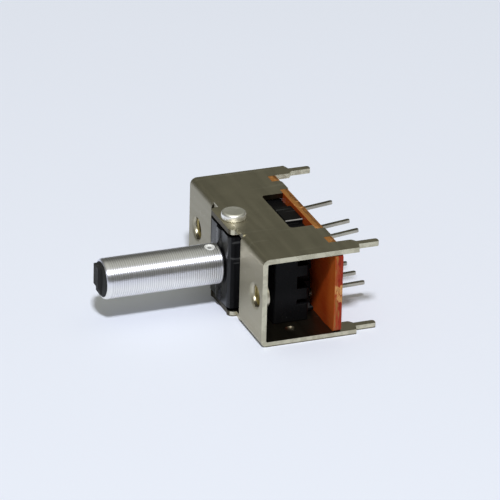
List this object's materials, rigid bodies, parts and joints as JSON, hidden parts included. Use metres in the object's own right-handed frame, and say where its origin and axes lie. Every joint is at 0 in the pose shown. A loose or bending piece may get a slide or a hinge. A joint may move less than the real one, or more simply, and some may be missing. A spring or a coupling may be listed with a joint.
{
  "type": "slide switch",
  "caption": "Lever-operated slide switch with a folded metal bracket, a rocking lever in a metal sleeve, a moulded slider with bridging contacts and solder terminals on a laminate board.",
  "frame": {"origin": "halfway between the two screw holes, on the outer face of the front plate", "axes": "+X along the slide, +Y from the lever towards the terminals, +Z across the flanges, up as the switch lies on its lower flange"},
  "size_m": [0.03, 0.0396, 0.0148],
  "materials": {
    "nickel_plate": "dull nickel-plated sheet steel",
    "phenolic": "orange-brown laminate, cut edges dull",
    "tinned_brass": "tinned",
    "rivet_steel": "plated, satin",
    "black_moulding": "moulded, slight sheen",
    "aluminium": "turned, fine rings",
    "contact_bronze": "spring bronze strip",
    "detent_steel": "bright"
  },
  "bodies": {
    "frame": {"bracket": "nickel_plate", "terminal_board": "phenolic", "upper_terminal_1": "tinned_brass", "upper_terminal_3": "tinned_brass", "upper_terminal_4": "tinned_brass", "lower_terminal_1": "tinned_brass", "lower_terminal_2": "tinned_brass", "lower_terminal_3": "tinned_brass", "lower_terminal_4": "tinned_brass", "pivot_rivet": "rivet_steel"},
    "lever": {"lever": "black_moulding", "lever_sleeve": "aluminium"},
    "slider": {"slider": "black_moulding", "upper_contact": "contact_bronze", "lower_contact": "contact_bronze", "detent_ball_left": "detent_steel", "detent_ball_right": "detent_steel", "detent_spring_left": "detent_steel", "detent_spring_right": "detent_steel"}
  },
  "joints": [
    {"name": "lever_rock", "type": "hinge", "parent": "frame", "child": "lever", "pos_m": [0, 0.00115, 0], "axis": [0, 0, 1], "range_deg": [-25, 25]},
    {"name": "slider_travel", "type": "slide", "parent": "frame", "child": "slider", "axis": [1, 0, 0], "range_m": [-0.0034, 0.0034]}
  ],
  "couplings": [
    {"joint": "slider_travel", "follows": "lever_rock", "m_per_rad": -0.00779}
  ]
}
